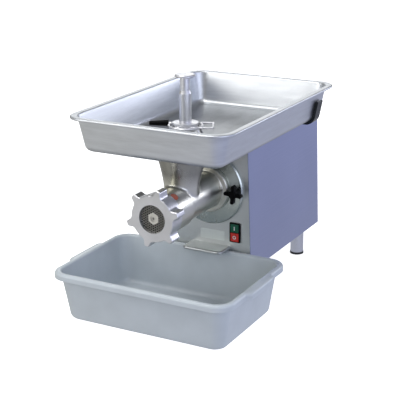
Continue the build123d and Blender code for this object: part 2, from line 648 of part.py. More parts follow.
def clamp_studs():
    """Two studs through the panel, each with its lock nut behind."""
    group = []
    for x in clamp_stud_points():
        stud = bar(STUD_CLAMP_R, KNOB_FRONT + 3, PANEL_BACK + 8, x)
        nut = prism(Pos(x, HEAD_Z) * RegularPolygon(STUD_NUT_R, 6), PANEL_BACK, PANEL_BACK + 6)
        group.append(stud + nut)
    return Compound(children=group)


def clamp_knob(x):
    """Four-lobed star knob on its stud."""
    star = Circle(KNOB_CORE_R)
    for i in range(KNOB_LOBES):
        lobe = Pos(KNOB_TIP_R / 2, 0) * Rectangle(KNOB_TIP_R, KNOB_LOBE_WIDTH)
        star += Rot(0, 0, 360 * i / KNOB_LOBES + KNOB_TURN) * lobe
    tips = [v for v in star.vertices() if math.hypot(v.X, v.Y) > KNOB_CORE_R + 3]
    star = fillet(tips, 4.6)
    roots = [v for v in star.vertices() if math.hypot(v.X, v.Y) < KNOB_CORE_R + 0.5]
    star = fillet(roots, 3)
    knob = prism(Pos(x, HEAD_Z) * star, KNOB_FRONT, KNOB_FRONT + KNOB_THICK)
    knob = fillet(knob.faces().sort_by(Axis.Y)[0].edges(), 2)
    knob += bar(11, KNOB_FRONT + KNOB_THICK - 1, DISC_FRONT - GAP, x)
    knob += fillet(ends(bar(10, KNOB_FRONT - 3, KNOB_FRONT + 1, x), Axis.Y, last=False), 2)
    return knob - bar(STUD_CLAMP_R + FIT, KNOB_FRONT + 2.5, DISC_FRONT + 1, x)


def grinding_plate():
    """Plate of the knife set, drilled on a triangular grid round a plain hexagonal middle."""
    disc = Circle(PLATE_R)
    holes = []
    for i in range(-PLATE_RINGS, PLATE_RINGS + 1):
        for j in range(-PLATE_RINGS, PLATE_RINGS + 1):
            ring = max(abs(i), abs(j), abs(i + j))
            x, z = PLATE_PITCH * j * math.sqrt(3) / 2, PLATE_PITCH * (i + j / 2)
            if PLATE_BLANK_RINGS < ring and math.hypot(x, z) < PLATE_R - 8:
                holes.append(Pos(x, z) * Circle(PLATE_HOLE_R))
    disc = disc - holes
    solid = prism(Pos(AXIS_X, HEAD_Z) * disc, PLATE_FRONT, PLATE_FRONT + PLATE_THICK)
    solid -= bar(STUD_R + FIT, PLATE_FRONT - 1, PLATE_FRONT + PLATE_THICK + 1)
    solid -= bar(STUD_RECESS, PLATE_FRONT - 1, PLATE_FRONT + 1.2)
    return solid - plate_key_shape(GAP)


def plate_key_shape(grow):
    back = PLATE_FRONT + PLATE_THICK
    return block(AXIS_X - 2 - grow, AXIS_X + 2 + grow, HEAD_FRONT, back - 1,
                 HEAD_Z - PLATE_R - 3 - grow, HEAD_Z - PLATE_R + 2 + grow)


def plate_key():
    """Small key that stops the plate from turning in the drum."""
    return plate_key_shape(0) - tube(80, PLATE_R + 0.3 - GAP, HEAD_FRONT - 1, HEAD_FRONT + 20)


# ---------------------------------------------------------------- turning pieces in the head

KNIFE_Y = (PLATE_FRONT + PLATE_THICK + 0.1, PLATE_FRONT + PLATE_THICK + 12)
AUGER_Y = (KNIFE_Y[1] + 2, -108.0)


def auger_screw():
    """Feed screw: a helical flight on a core, a journal behind it and a square tang."""
    length = AUGER_Y[1] - AUGER_Y[0]
    middle = (AUGER_CORE_R + AUGER_R) / 2 - 2
    path = Helix(pitch=AUGER_PITCH, height=length - 10, radius=middle)
    section = Plane(path @ 0, x_dir=(1, 0, 0), z_dir=(0, -1, 0)) * Rectangle(AUGER_R - AUGER_CORE_R + 4, 6)
    flight = sweep(section, path=path, is_frenet=True)
    flight = Pos(AXIS_X, AUGER_Y[1] - 5, HEAD_Z) * Rot(90, 0, 0) * flight
    screw = flight & bar(AUGER_R, AUGER_Y[0], AUGER_Y[1])
    screw += bar(AUGER_CORE_R, AUGER_Y[0], AUGER_Y[1]) + bar(20, AUGER_Y[1] - 1, -76)
    screw += prism(Pos(AXIS_X, HEAD_Z) * Rectangle(TANG, TANG), -77, -38)
    return screw - bar(9 + GAP, AUGER_Y[0] - 1, AUGER_Y[0] + 20)


def knife_stud():
    """Stud in the front of the screw: square for the knife, round where it runs in the plate."""
    stud = bar(9, KNIFE_Y[1], AUGER_Y[0] + 19)
    stud += prism(Pos(AXIS_X, HEAD_Z) * Rectangle(16, 16), *KNIFE_Y)
    stud += bar(STUD_R, PLATE_FRONT + 2, KNIFE_Y[0] + 1)
    return stud - bar(STUD_CENTRE_R, PLATE_FRONT + 1, PLATE_FRONT + 6)


def knife():
    """Four-bladed knife, flat against the plate, with each blade's back sloped off."""
    cross = Circle(17)
    for i in range(4):
        cross += Rot(0, 0, 90 * i + 20) * Pos(30, 3) * RectangleRounded(32, 13, 3)
    solid = prism(Pos(AXIS_X, HEAD_Z) * cross, *KNIFE_Y)
    drive = Pos(AXIS_X, HEAD_Z) * Rectangle(16 + 2 * GAP, 16 + 2 * GAP)
    return solid - prism(drive, KNIFE_Y[0] - 1, KNIFE_Y[1] + 1)


def thrust_washer():
    """Washer between the back of the screw and the casting."""
    return tube(30, 20 + GAP, AUGER_Y[1] + GAP, -105.2)


def nut_outline():
    """Round body with six grip lobes, blended in by hollow corners."""
    outline = Circle(NUT_BODY_R)
    base, tip = NUT_LOBE_BASE / 2, NUT_LOBE_TIP / 2
    lobe = Polyline((NUT_LOBE_R, -base), (NUT_TIP_R, -tip), (NUT_TIP_R, tip), (NUT_LOBE_R, base), close=True)
    for i in range(NUT_LOBES):
        outline += Rot(0, 0, 90 - NUT_TURN + 360 * i / NUT_LOBES) * make_face(lobe)
    corners = outline.vertices()
    tips = [v for v in corners if math.hypot(v.X, v.Y) > NUT_TIP_R - 3]
    outline = fillet(tips, 5)
    roots = [v for v in outline.vertices() if math.hypot(v.X, v.Y) < NUT_BODY_R + 1]
    return fillet(roots, 12)


def ring_nut():
    """Cast nut that holds the plate in the drum."""
    place = Pos(AXIS_X, HEAD_Z)
    nut = prism(place * nut_outline(), NUT_FRONT, NUT_FRONT + 34)
    nut = chamfer(nut.faces().sort_by(Axis.Y)[0].edges(), 2)
    nut += bar(NUT_BODY_R - 1, NUT_FRONT + 33, NUT_FRONT + NUT_DEPTH)
    nut -= bar(THREAD_R + FIT, NUT_FRONT + NUT_LIP, NUT_FRONT + NUT_DEPTH + 1)
    nut -= bar(NUT_HOLE_R, NUT_FRONT - 1, NUT_FRONT + NUT_LIP + 1)
    return nut


# ---------------------------------------------------------------- feed pan, guard and pusher

def tray_solid(half_x, half_y, z0, z1, lean, corner, edge):
    """Rounded tapered block with a large radius round its floor: the envelope of a tray."""
    floor = RectangleRounded(2 * (half_x - lean), 2 * (half_y - lean), corner)
    solid = extrude(floor, amount=z1 - z0, taper=-math.degrees(math.atan2(lean, z1 - z0)))
    return Pos(0, 0, z0) * fillet(solid.edges().group_by(Axis.Z)[0], edge)


def pan_envelope(grow, top):
    """Outside of the pan, grown sideways and downwards by the same distance all round."""
    inset = PAN_FLANGE + 2 * PAN_BEAD
    wall_x, wall_y = PAN_HALF_X - inset, PAN_HALF_Y - inset
    slope = PAN_LEAN / (PAN_RIM - PAN_BEAD - PAN_FLOOR)
    side = grow * math.sqrt(1 + slope**2)
    z0 = PAN_FLOOR - grow
    rise = top - PAN_RIM + PAN_BEAD
    top_x, top_y = wall_x + side + rise * slope, wall_y + side + rise * slope
    solid = tray_solid(top_x, top_y, z0, top, (top - z0) * slope, PAN_CORNER + grow, PAN_EDGE + grow)
    return Pos(AXIS_X, PAN_Y, 0) * solid


def feed_pan():
    """Pressed pan with a flat flange, a rolled bead round it and a collar that drops into the throat."""
    rim_z = PAN_RIM - PAN_BEAD
    bead_line = RectangleRounded(2 * (PAN_HALF_X - PAN_BEAD), 2 * (PAN_HALF_Y - PAN_BEAD), PAN_RIM_CORNER)
    flange = Pos(AXIS_X, PAN_Y, rim_z - PAN_SHEET) * extrude(bead_line, amount=PAN_SHEET)
    pan = pan_envelope(0, rim_z) + flange - pan_envelope(-PAN_SHEET, rim_z + 1)
    path = Pos(AXIS_X, PAN_Y, rim_z) * Wire(bead_line.edges())
    pan += sweep(Plane(path @ 0, z_dir=path % 0) * Circle(PAN_BEAD), path=path)
    collar = post(PAN_HOLE_R + PAN_SHEET, PAN_FLOOR - PAN_COLLAR_DROP, PAN_FLOOR + 1, AXIS_X, FEED_Y)
    return pan + collar - post(PAN_HOLE_R, PAN_FLOOR - 50, PAN_FLOOR + 5, AXIS_X, FEED_Y)


def pan_cradle():
    """Strap under the pan with an arm up each side, on a block across the housing's top."""
    band = pan_envelope(CRADLE_THICK + 0.3, CRADLE_TOP) - pan_envelope(0.3, CRADLE_TOP + 1)
    y0, y1 = CRADLE_Y - CRADLE_DEPTH / 2, CRADLE_Y + CRADLE_DEPTH / 2
    band &= block(AXIS_X - 300, AXIS_X + 300, y0, y1, HOUSE_TOP, CRADLE_TOP)
    band = fillet(band.edges().group_by(Axis.Z)[-1], 3)
    return band + block(AXIS_X - CRADLE_BLOCK_X, AXIS_X + CRADLE_BLOCK_X, y0, y1,
                        HOUSE_TOP, PAN_FLOOR - CRADLE_THICK)


def guard_point(along, offset, z):
    """Point on the guard, measured along its bars and across them from the feed axis."""
    turn = math.radians(180 + GUARD_TURN)
    x = AXIS_X + along * math.cos(turn) + offset * math.sin(turn)
    y = FEED_Y + along * math.sin(turn) - offset * math.cos(turn)
    return (x, y, z)


def throat_guard():
    """Wire guard over the throat: base ring, four splayed legs, top ring and a hairpin of two bars."""
    base_z = PAN_FLOOR + 4.2
    guard = post(GUARD_BASE_R, PAN_FLOOR + 1.7, base_z, AXIS_X, FEED_Y)
    guard += post(GUARD_DROP_R, PAN_FLOOR - 9, base_z, AXIS_X, FEED_Y)
    guard -= post(GUARD_BORE_R, PAN_FLOOR - 20, base_z + 9, AXIS_X, FEED_Y)
    ring_z, bar_z = GUARD_TOP - GUARD_ROD, GUARD_TOP - GUARD_BAR_R
    for i in range(4):
        turn = math.radians(45 + GUARD_TURN + 90 * i)
        dx, dy = math.cos(turn), math.sin(turn)
        foot = (AXIS_X + GUARD_FOOT_R * dx, FEED_Y + GUARD_FOOT_R * dy, base_z - 1)
        guard += rod(GUARD_BAR_R, foot, (AXIS_X + GUARD_R * dx, FEED_Y + GUARD_R * dy, ring_z))
    reach = math.sqrt(GUARD_R**2 - GUARD_BAR_OFFSET**2)
    for side, end in ((-1, reach), (1, GRIP_END - 12)):
        offset = side * GUARD_BAR_OFFSET
        guard += rod(GUARD_BAR_R, guard_point(-GUARD_BAR_END, offset, bar_z), guard_point(end, offset, bar_z))
    corners = [guard_point(-GUARD_BAR_END, side * GUARD_BAR_OFFSET, bar_z) for side in (-1, 1)]
    guard += rod(GUARD_BAR_R, *corners)
    for x, y, z in corners:
        guard += Pos(x, y, z) * Sphere(GUARD_BAR_R)
    ring = post(GUARD_R + GUARD_ROD, ring_z - GUARD_ROD, GUARD_TOP, AXIS_X, FEED_Y)
    ring -= post(GUARD_R - GUARD_ROD, ring_z - GUARD_ROD - 1, GUARD_TOP + 1, AXIS_X, FEED_Y)
    return guard + fillet(ring.edges(), 0.9 * GUARD_ROD)


def guard_grip():
    """Tapered grip on the longer bar."""
    start = guard_point(GRIP_START, GUARD_BAR_OFFSET, GUARD_TOP - GUARD_BAR_R)
    end = guard_point(GRIP_END, GUARD_BAR_OFFSET, GUARD_TOP - GUARD_BAR_R)
    line = Line(start, end)
    grip = loft([Plane(line @ 0, z_dir=line % 0) * Circle(8.5), Plane(line @ 1, z_dir=line % 1) * Circle(5.5)])
    grip = fillet(grip.edges().group_by(Axis.X)[0], 2)
    return grip - rod(GUARD_BAR_R + FIT, start, guard_point(GRIP_END - 11.5, GUARD_BAR_OFFSET, start[2]))


def pusher_rod():
    """Turned handle: knob disc, slim neck, thicker shaft and the flange that rests on the guard."""
    flange_z = GUARD_TOP + 0.2
    neck_z, disc_z = 602.0, PUSHER_TOP - 7
    profile = Polyline((0, flange_z), (PUSHER_FLANGE_R, flange_z), (PUSHER_FLANGE_R, flange_z + 6),
                       (PUSHER_SHAFT_R, flange_z + 8), (PUSHER_SHAFT_R, neck_z), (PUSHER_NECK_R, neck_z + 8),
                       (PUSHER_NECK_R, disc_z - 3), (PUSHER_DISC_R - 2, disc_z), (PUSHER_DISC_R, disc_z + 2),
                       (PUSHER_DISC_R, PUSHER_TOP - 2), (PUSHER_DISC_R - 3, PUSHER_TOP), (0, PUSHER_TOP),
                       close=True)
    face = make_face(Plane.XZ * profile)
    return Pos(AXIS_X, FEED_Y, 0) * revolve(face, Axis.Z)


def pusher_plunger():
    """Plastic plunger under the flange, a loose fit in the throat."""
    body = post(PLUNGER_R, PLUNGER_BOTTOM, GUARD_TOP + 0.2, AXIS_X, FEED_Y)
    return fillet(ends(body, Axis.Z, last=False), 6)


# ---------------------------------------------------------------- catch tub

def tub_rim(inset, z0, z1):
    """Block of the tub's rim, with the wider grip in the middle of each short side."""
    reach = TUB_HALF_X + TUB_GRIP_REACH - inset
    rim = RectangleRounded(2 * (TUB_HALF_X - inset), 2 * (TUB_HALF_Y - inset), TUB_RIM_CORNER - inset)
    rim += RectangleRounded(2 * reach, TUB_GRIP_LENGTH - 2 * inset, TUB_GRIP_REACH - 1)
    return Pos(0, 0, z0) * extrude(rim, amount=z1 - z0)


def catch_tub():
    """Moulded tub with a hollow turned-down rim and a grip at each end."""
    wall_x, wall_y = TUB_HALF_X - TUB_OVERHANG, TUB_HALF_Y - TUB_OVERHANG
    rim_z = TUB_HEIGHT - TUB_RIM_DEPTH
    rim = fillet(ends(tub_rim(0, rim_z, TUB_HEIGHT), Axis.Z), 6)
    rim -= tub_rim(TUB_WALL, rim_z - 1, TUB_HEIGHT - TUB_WALL)
    outer = tray_solid(wall_x, wall_y, 0, TUB_HEIGHT - 0.5, TUB_LEAN, TUB_FLOOR_CORNER, TUB_EDGE)
    slope = TUB_LEAN / TUB_HEIGHT
    inner = tray_solid(wall_x - TUB_WALL + slope, wall_y - TUB_WALL + slope, TUB_WALL, TUB_HEIGHT + 1,
                       TUB_LEAN, TUB_FLOOR_CORNER - 2, TUB_EDGE - TUB_WALL)
    return Pos(0, TUB_Y, 0) * (rim + outer - inner)


# ---------------------------------------------------------------- screws

def panel_screws():
    """Six domed screw heads on the rear panel."""
    group = []
    face = REAR_PANEL_Y + PANEL_THICK
    for sx in (-1, 1):
        for z in (HOUSE_BASE + 20, (HOUSE_BASE + HOUSE_TOP) / 2, HOUSE_TOP - 22):
            x = AXIS_X + sx * (half_width(z) - SHEET - 10)
            group.append(Pos(x, face, z) * Sphere(4) & block(x - 9, x + 9, face, face + 2.6, z - 9, z + 9))
    return Compound(children=group)


# ---------------------------------------------------------------- write every piece

POWER_MARK = Rectangle(2.4, 10)
OFF_MARK = Circle(5.2) - Circle(3)

PIECES = {
    "housing_shell": housing_shell,
    "front_panel": front_panel,
    "rear_panel": rear_panel,
    "base_plate": base_plate,
    "legs": legs,
    "feet": feet,
    "tub_lip": tub_lip,
    "label_plate": label_plate,
    "switch_frame": switch_frame,
    "switch_body": switch_body,
    "start_button": lambda: button(1, POWER_MARK),
    "stop_button": lambda: button(-1, OFF_MARK),
    "terminal_block": terminal_block,
    "run_capacitor": run_capacitor,
    "cable_gland": cable_gland,
    "panel_screws": panel_screws,
    "gearbox_case": gearbox_case,
    "gearbox_cover": gearbox_cover,
    "gearbox_bolts": gearbox_bolts,
    "gearbox_foot": gearbox_foot,
    "output_seal": output_seal,
    "output_bearings": lambda: bearing_pair(OUTPUT_BEARINGS),
    "idler_bearings": lambda: bearing_pair(IDLER_BEARINGS),
    "motor_bearings": lambda: bearing_pair(MOTOR_BEARINGS),
    "output_shaft": output_shaft,
    "output_gear": output_gear,
    "idler_shaft": idler_shaft,
    "idler_pinion": idler_pinion,
    "idler_gear": idler_gear,
    "motor_shaft": motor_shaft,
    "motor_pinion": motor_pinion,
    "motor_frame": motor_frame,
    "motor_foot": motor_foot,
    "motor_end_bell": motor_end_bell,
    "stator_core": stator_core,
    "stator_windings": stator_windings,
    "rotor_core": rotor_core,
    "cooling_fan": cooling_fan,
    "fan_cowl": fan_cowl,
    "head_casting": head_casting,
    "throat_plug": throat_plug,
    "clamp_disc": clamp_disc,
    "clamp_studs": clamp_studs,
    "clamp_knob_left": lambda: clamp_knob(AXIS_X - KNOB_OFFSET),
    "clamp_knob_right": lambda: clamp_knob(AXIS_X + KNOB_OFFSET),
    "auger_screw": auger_screw,
    "thrust_washer": thrust_washer,
    "knife_stud": knife_stud,
    "knife": knife,
    "grinding_plate": grinding_plate,
    "plate_key": plate_key,
    "ring_nut": ring_nut,
    "feed_pan": feed_pan,
    "pan_cradle": pan_cradle,
    "throat_guard": throat_guard,
    "guard_grip": guard_grip,
    "pusher_rod": pusher_rod,
    "pusher_plunger": pusher_plunger,
    "catch_tub": catch_tub,
}

for piece_name, make in PIECES.items():
    save(piece_name, make())
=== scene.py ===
import json
import math

import bpy
from mathutils import Matrix, Vector, noise


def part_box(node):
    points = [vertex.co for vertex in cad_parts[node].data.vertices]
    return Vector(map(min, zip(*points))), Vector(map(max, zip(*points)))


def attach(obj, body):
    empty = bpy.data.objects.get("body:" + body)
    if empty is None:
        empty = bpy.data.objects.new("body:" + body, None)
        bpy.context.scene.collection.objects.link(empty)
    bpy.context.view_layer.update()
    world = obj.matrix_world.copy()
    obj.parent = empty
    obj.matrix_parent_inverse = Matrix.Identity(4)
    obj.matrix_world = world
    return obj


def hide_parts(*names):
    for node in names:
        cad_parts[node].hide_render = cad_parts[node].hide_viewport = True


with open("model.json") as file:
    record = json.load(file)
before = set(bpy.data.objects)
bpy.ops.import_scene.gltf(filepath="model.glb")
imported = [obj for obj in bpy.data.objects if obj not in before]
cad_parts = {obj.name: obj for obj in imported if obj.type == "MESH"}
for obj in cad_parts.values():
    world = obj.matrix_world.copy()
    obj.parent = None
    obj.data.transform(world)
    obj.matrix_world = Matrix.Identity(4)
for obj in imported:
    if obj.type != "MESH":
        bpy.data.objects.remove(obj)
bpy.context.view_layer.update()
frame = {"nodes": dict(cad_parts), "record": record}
nodes = frame["nodes"]
scene = bpy.context.scene

MM = 0.001


def box(node):
    """Lowest corner, highest corner and middle of a CAD node."""
    low, high = (Vector(corner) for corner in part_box(node))
    return low, high, (low + high) / 2


# ---------------------------------------------------------------- camera

CAMERA_PLACE = Vector((1.3897, -2.6085, 1.2090))
CAMERA_HEADING = math.radians(28.67)    # turned to the left of straight ahead (+Y)
CAMERA_DIP = math.radians(17.85)        # looking down
CAMERA_ROLL = math.radians(0.5)
CAMERA_LENS = 99.03


def add_camera():
    data = bpy.data.cameras.new("camera")
    data.lens = CAMERA_LENS
    data.sensor_width = 36
    camera = bpy.data.objects.new("camera", data)
    turn = Matrix.Rotation(CAMERA_HEADING, 3, "Z") @ Matrix.Rotation(math.pi / 2 - CAMERA_DIP, 3, "X")
    turn = turn @ Matrix.Rotation(-CAMERA_ROLL, 3, "Z")
    camera.matrix_world = Matrix.Translation(CAMERA_PLACE) @ turn.to_4x4()
    scene.collection.objects.link(camera)
    scene.camera = camera


# ---------------------------------------------------------------- material helpers

MIX_FACTOR, MIX_FIRST, MIX_SECOND, MIX_COLOR = 0, 6, 7, 2       # sockets of a Mix node that mixes colours


class Nodes:
    """Short calls for the procedural nodes of one tree."""

    def __init__(self, tree):
        self.tree = tree

    def node(self, kind, **values):
        made = self.tree.nodes.new(kind)
        for key, value in values.items():
            setattr(made, key, value)
        return made

    def link(self, out, socket):
        self.tree.links.new(out, socket)

    def axis(self, vector, name):
        """One coordinate of a vector."""
        split = self.node("ShaderNodeSeparateXYZ")
        self.link(vector, split.inputs[0])
        return split.outputs[name]

    def place(self, stretch=(1, 1, 1), turn=(0, 0, 0)):
        """Object coordinates in metres, stretched and turned."""
        coords = self.node("ShaderNodeTexCoord")
        mapping = self.node("ShaderNodeMapping")
        mapping.inputs["Scale"].default_value = stretch
        mapping.inputs["Rotation"].default_value = [math.radians(a) for a in turn]
        self.link(coords.outputs["Object"], mapping.inputs["Vector"])
        return mapping.outputs["Vector"]

    def noise(self, scale, detail=2.0, roughness=0.5, stretch=(1, 1, 1), turn=(0, 0, 0)):
        made = self.node("ShaderNodeTexNoise")
        made.inputs["Scale"].default_value = scale
        made.inputs["Detail"].default_value = detail
        made.inputs["Roughness"].default_value = roughness
        self.link(self.place(stretch, turn), made.inputs["Vector"])
        return made.outputs["Fac"]

    def remap(self, value, start=0.3, end=0.7, low=0.0, high=1.0):
        """Stretch the values from start to end over low to high."""
        made = self.node("ShaderNodeMapRange")
        self.link(value, made.inputs["Value"])
        for key, number in (("From Min", start), ("From Max", end), ("To Min", low), ("To Max", high)):
            made.inputs[key].default_value = number
        return made.outputs["Result"]

    def mix(self, factor, first, second):
        """Mix two colours, each a plain colour or another node's output."""
        made = self.node("ShaderNodeMix", data_type="RGBA")
        self.link(factor, made.inputs[MIX_FACTOR])
        for color, socket in ((first, made.inputs[MIX_FIRST]), (second, made.inputs[MIX_SECOND])):
            if isinstance(color, tuple):
                socket.default_value = (*color, 1)
            else:
                self.link(color, socket)
        return made.outputs[MIX_COLOR]


class Paint(Nodes):
    """A Principled material and the nodes that feed it."""

    def __init__(self, name, color, metallic=0.0, rough=0.5, **sockets):
        self.mat = bpy.data.materials.new(name)
        self.mat.use_nodes = True
        super().__init__(self.mat.node_tree)
        self.shader = self.tree.nodes["Principled BSDF"]
        self.shader.inputs["Base Color"].default_value = (*color, 1)
        self.shader.inputs["Metallic"].default_value = metallic
        self.shader.inputs["Roughness"].default_value = rough
        for key, value in sockets.items():
            self.shader.inputs[key.replace("_", " ")].default_value = value
        self.normal = None

    def base(self, color):
        self.link(color, self.shader.inputs["Base Color"])

    def rough(self, value, low, high):
        self.link(self.remap(value, low=low, high=high), self.shader.inputs["Roughness"])

    def bump(self, value, distance):
        """Raise the surface by a value; a second bump adds to the first."""
        made = self.node("ShaderNodeBump")
        made.inputs["Distance"].default_value = distance
        made.inputs["Strength"].default_value = 1.0
        self.link(value, made.inputs["Height"])
        if self.normal is not None:
            self.link(self.normal, made.inputs["Normal"])
        self.normal = made.outputs["Normal"]
        self.link(self.normal, self.shader.inputs["Normal"])


def shade(color, factor):
    return tuple(min(1.0, c * factor) for c in color)


def brushed(name, color, rough, stretch, tint=0.06, depth=0.00002):
    """Sheet metal with a grain: stretch is small along the grain and large across it."""
    paint = Paint(name, color, metallic=1.0, rough=rough)
    grain = paint.noise(1.0, detail=4, roughness=0.6, stretch=stretch)
    patches = paint.remap(paint.noise(5.0, detail=3))
    paint.base(paint.mix(patches, shade(color, 1 - tint), shade(color, 1 + tint)))
    paint.rough(grain, rough * 0.82, rough * 1.2)
    paint.bump(grain, depth)
    return paint.mat


def cast(name, color, rough, grain=260.0, depth=0.00004, tint=0.08, wave=0.0):
    """Cast and tumbled metal: fine isotropic grain, soft patches and, with a wave, soft hollows."""
    paint = Paint(name, color, metallic=1.0, rough=rough)
    patches = paint.noise(18.0, detail=3)
    paint.base(paint.mix(paint.remap(patches), shade(color, 1 - tint), shade(color, 1 + tint)))
    paint.rough(patches, rough * 0.8, rough * 1.25)
    paint.bump(paint.noise(grain, detail=3), depth)
    if wave:
        paint.bump(paint.noise(26.0, detail=1), wave)
    return paint.mat


THROAT_SHADE = (0.362, 0.400)    # heights between which the bright barrel turns into the throat's painted shade, darker up towards the pan


def head_casting_metal(name, color, rough):
    """Tumbled casting: bright on the barrel; up the throat, under the pan, streaked painted shade."""
    paint = Paint(name, color, metallic=1.0, rough=rough)
    streaks = paint.remap(paint.noise(1.0, detail=3, stretch=(22, 22, 4)), 0.35, 0.65)
    # painted shade of the pan on the throat: darker copies of the casting's colour, broken into streaks
    dimmed = paint.mix(streaks, shade(color, 0.34), shade(color, 0.54))
    up = paint.remap(paint.axis(paint.place(), "Z"), *THROAT_SHADE)
    paint.base(paint.mix(up, color, dimmed))
    paint.rough(paint.noise(18.0, detail=3), rough * 0.8, rough * 1.25)
    paint.bump(paint.noise(420.0, detail=3), 0.00003)
    paint.bump(paint.noise(26.0, detail=1), 0.0004)
    return paint.mat


def plastic(name, color, rough, grain=900.0, depth=0.00003, tint=0.05, **sockets):
    """Moulded plastic with a fine surface texture."""
    paint = Paint(name, color, rough=rough, **sockets)
    patches = paint.remap(paint.noise(12.0, detail=3))
    paint.base(paint.mix(patches, shade(color, 1 - tint), shade(color, 1 + tint)))
    paint.rough(paint.noise(60.0, detail=2), rough * 0.97, rough * 1.03)
    paint.bump(paint.noise(grain, detail=2), depth)
    return paint.mat


PAN_FLOOR_SHADE = (0.4705, 0.482)      # heights between which the pan's floor, painted in shade, turns into the brighter wall


def pressed_pan(name, color, rough):
    """Pressed aluminium sheet: streaked walls, and a floor painted darker in shade, with scuff marks."""
    paint = Paint(name, color, metallic=1.0, rough=rough)
    marks = paint.noise(1.0, detail=5, roughness=0.65, stretch=(10, 10, 80))
    scuffs = paint.noise(1.0, detail=4, roughness=0.6, stretch=(30, 8, 30), turn=(0, 0, 25))
    wall = paint.mix(paint.remap(marks), shade(color, 0.90), shade(color, 1.08))
    # painted shade: the floor gets about half the walls' colour, mottled by the scuff pattern
    floor = paint.mix(paint.remap(scuffs), shade(color, 0.46), shade(color, 0.62))
    rise = paint.remap(paint.axis(paint.place(), "Z"), *PAN_FLOOR_SHADE)
    paint.base(paint.mix(rise, floor, wall))
    paint.rough(marks, rough * 0.85, rough * 1.2)
    paint.bump(paint.noise(9.0, detail=1), 0.0006)
    return paint.mat


PLATE_HUB = 16.5 * MM           # radius of the plain ground middle of the plate, which keeps the full colour; outside it the plate is in painted shade


def drilled_plate(name, color, rough):
    """Ground steel, bright at the plain hub, in painted shade between the holes and painted dark inside them.
    """
    paint = Paint(name, color, metallic=1.0, rough=rough)
    middle = box("knife_stud")[2]
    from_axis = paint.node("ShaderNodeVectorMath", operation="DISTANCE")
    paint.link(paint.place(stretch=(1, 0, 1)), from_axis.inputs[0])
    from_axis.inputs[1].default_value = (middle.x, 0, middle.z)
    # painted shade: outside the hub the plate gets a darker copy of its colour
    web_shade = paint.remap(from_axis.outputs["Value"], PLATE_HUB, PLATE_HUB + MM)
    facing = paint.node("ShaderNodeMath", operation="ABSOLUTE")
    normal = paint.node("ShaderNodeTexCoord").outputs["Normal"]
    paint.link(paint.axis(normal, "Y"), facing.inputs[0])
    # painted shade in the holes: faces that don't face along the plate's axis are painted near black
    front_faces = paint.remap(facing.outputs[0], 0.7, 0.9)
    surface = paint.mix(web_shade, color, shade(color, 0.55))
    paint.base(paint.mix(front_faces, shade(color, 0.01), surface))
    grain = paint.noise(300.0, detail=3)
    paint.rough(grain, rough * 0.85, rough * 1.2)
    paint.bump(grain, 0.00002)
    return paint.mat


MATERIALS = {
    # the housing steel's base colour carries a painted blue reflection, beside the blue that the fill light
    # and world give
    "housing_steel": brushed("housing_steel", (0.38, 0.41, 0.57), 0.46, (30, 2, 900), tint=0.03),
    "lip_steel": brushed("lip_steel", (0.52, 0.54, 0.54), 0.42, (12, 12, 700)),
    "panel_steel": brushed("panel_steel", (0.68, 0.70, 0.69), 0.44, (4, 4, 900), tint=0.03),
    "leg_steel": brushed("leg_steel", (0.62, 0.64, 0.70), 0.32, (900, 900, 20)),
    "foot_rubber": plastic("foot_rubber", (0.02, 0.02, 0.022), 0.7),
    "label": brushed("label", (0.80, 0.84, 0.82), 0.50, (900, 20, 20)),
    "black_plastic": plastic("black_plastic", (0.004, 0.004, 0.004), 0.4, Specular_IOR_Level=0.06),
    "green_button": plastic("green_button", (0.004, 0.10, 0.05), 0.25),
    "red_button": plastic("red_button", (0.60, 0.035, 0.025), 0.25),
    "capacitor_can": brushed("capacitor_can", (0.6, 0.6, 0.6), 0.35, (900, 20, 900)),
    "screw_steel": cast("screw_steel", (0.55, 0.55, 0.55), 0.3),
    "gearbox_iron": cast("gearbox_iron", (0.12, 0.13, 0.15), 0.55),
    "seal_rubber": plastic("seal_rubber", (0.03, 0.02, 0.015), 0.6),
    "bearing_steel": cast("bearing_steel", (0.6, 0.61, 0.63), 0.2),
    "shaft_steel": brushed("shaft_steel", (0.5, 0.5, 0.5), 0.28, (30, 900, 30)),
    "gear_steel": cast("gear_steel", (0.35, 0.35, 0.36), 0.35),
    "motor_paint": cast("motor_paint", (0.16, 0.19, 0.23), 0.5),
    "lamination_steel": brushed("lamination_steel", (0.25, 0.26, 0.28), 0.45, (20, 1500, 20)),
    "winding_copper": brushed("winding_copper", (0.45, 0.16, 0.07), 0.35, (300, 300, 300)),
    "head_metal": head_casting_metal("head_metal", (0.66, 0.65, 0.58), 0.32),
    "disc_metal": brushed("disc_metal", (0.52, 0.56, 0.53), 0.24, (60, 60, 60), tint=0.03),
    "plug_red": plastic("plug_red", (0.50, 0.13, 0.07), 0.4, tint=0.35),
    "auger_metal": cast("auger_metal", (0.45, 0.45, 0.42), 0.35),
    "knife_steel": brushed("knife_steel", (0.5, 0.5, 0.52), 0.3, (700, 30, 30)),
    "plate_steel": drilled_plate("plate_steel", (0.74, 0.72, 0.66), 0.36),
    "nut_metal": cast("nut_metal", (0.72, 0.72, 0.73), 0.36, grain=300.0, depth=0.00008,
                      tint=0.06, wave=0.0005),
    "pan_metal": pressed_pan("pan_metal", (0.66, 0.68, 0.70), 0.36),
    "cradle_black": plastic("cradle_black", (0.010, 0.012, 0.012), 0.25, Specular_IOR_Level=0.3),
    "guard_steel": brushed("guard_steel", (0.80, 0.80, 0.82), 0.34, (40, 40, 40), tint=0.02, depth=0.000004),
    "plunger_plastic": plastic("plunger_plastic", (0.72, 0.72, 0.7), 0.4),
    "mark_white": plastic("mark_white", (0.75, 0.78, 0.75), 0.4),
    "tub_plastic": plastic("tub_plastic", (0.57, 0.62, 0.645), 0.26, grain=700.0),
}


def dress(obj, material):
    obj.data.materials.clear()
    obj.data.materials.append(material)


